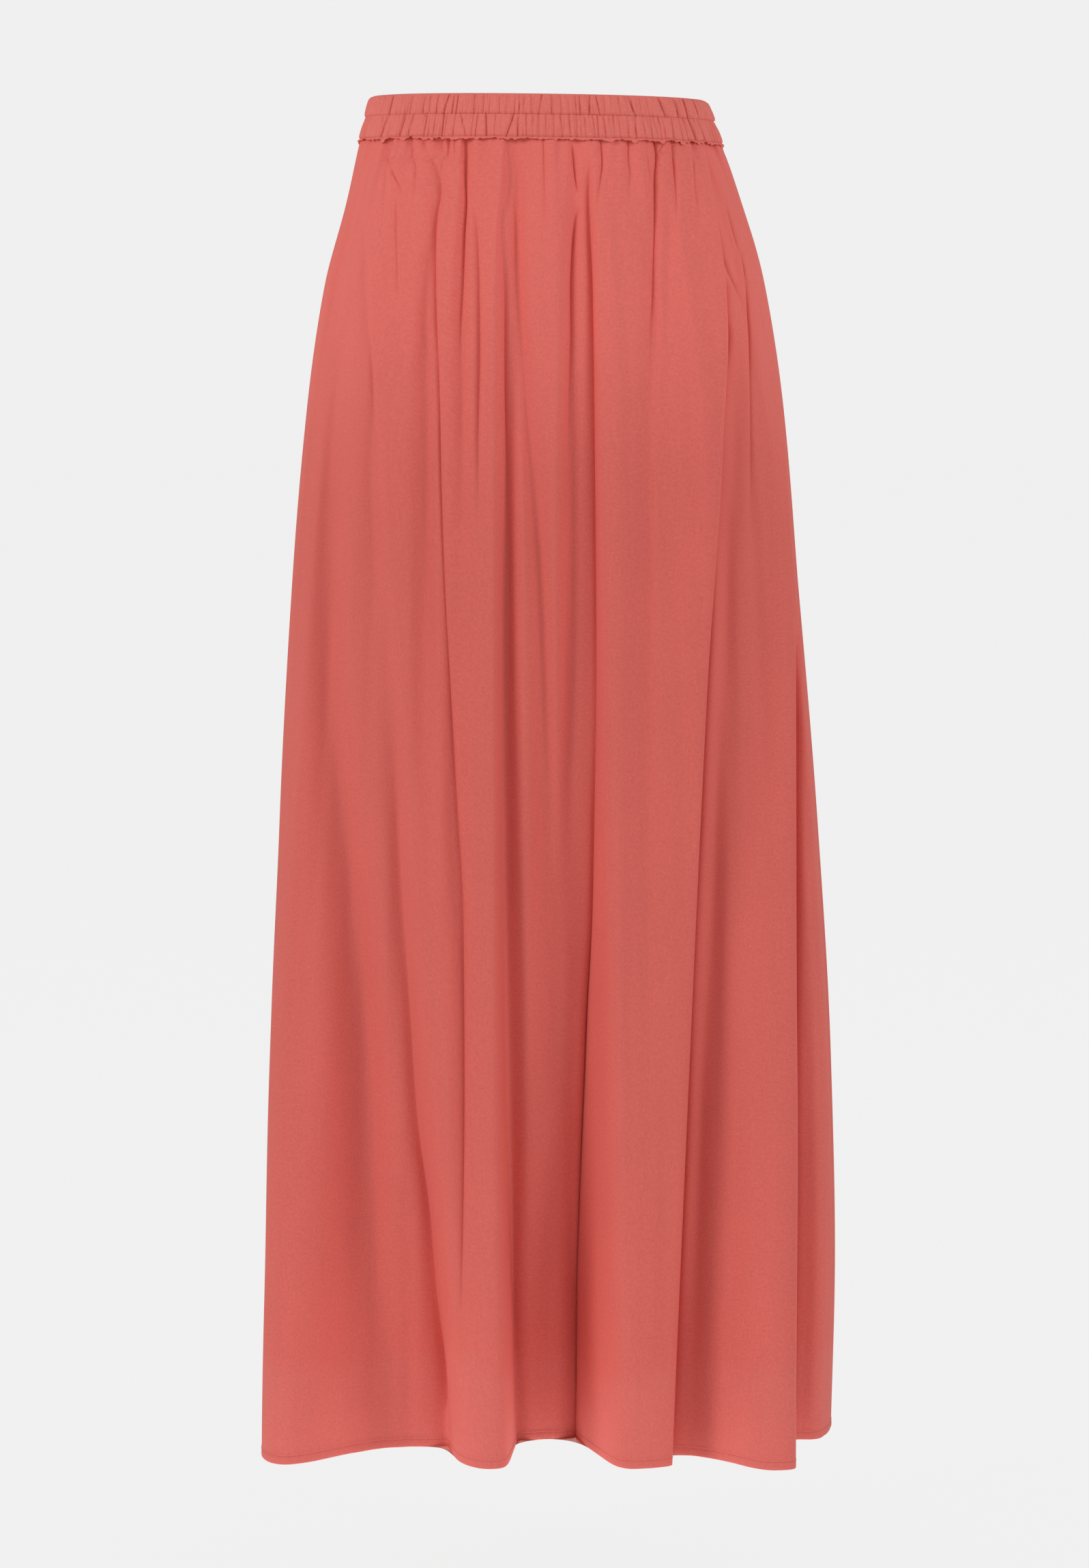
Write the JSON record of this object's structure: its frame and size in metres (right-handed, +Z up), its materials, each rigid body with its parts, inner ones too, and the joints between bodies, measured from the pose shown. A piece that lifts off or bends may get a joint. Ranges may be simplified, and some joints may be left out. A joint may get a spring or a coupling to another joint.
{
  "type": "maxi skirt",
  "caption": "Long plain skirt of light cloth, gathered into a double elastic waistband and falling in soft hanging folds to a narrow turned hem.",
  "frame": {"origin": "centre of the waistband's ring at half its height, where the wearer's waist holds the skirt", "axes": "+Z up towards the waist opening, -Y to the front of the skirt, +X to the wearer's left"},
  "size_m": [0.4298, 0.3252, 1.0015],
  "materials": {
    "cloth": "light plain weave in faded brick red, matt with a faint soft sheen",
    "band_cloth": "the same plain weave, puckered over elastic and topstitched in matching thread"
  },
  "bodies": {
    "root": {"front_panel": "cloth", "back_panel": "cloth", "waistband": "band_cloth"}
  },
  "joints": []
}
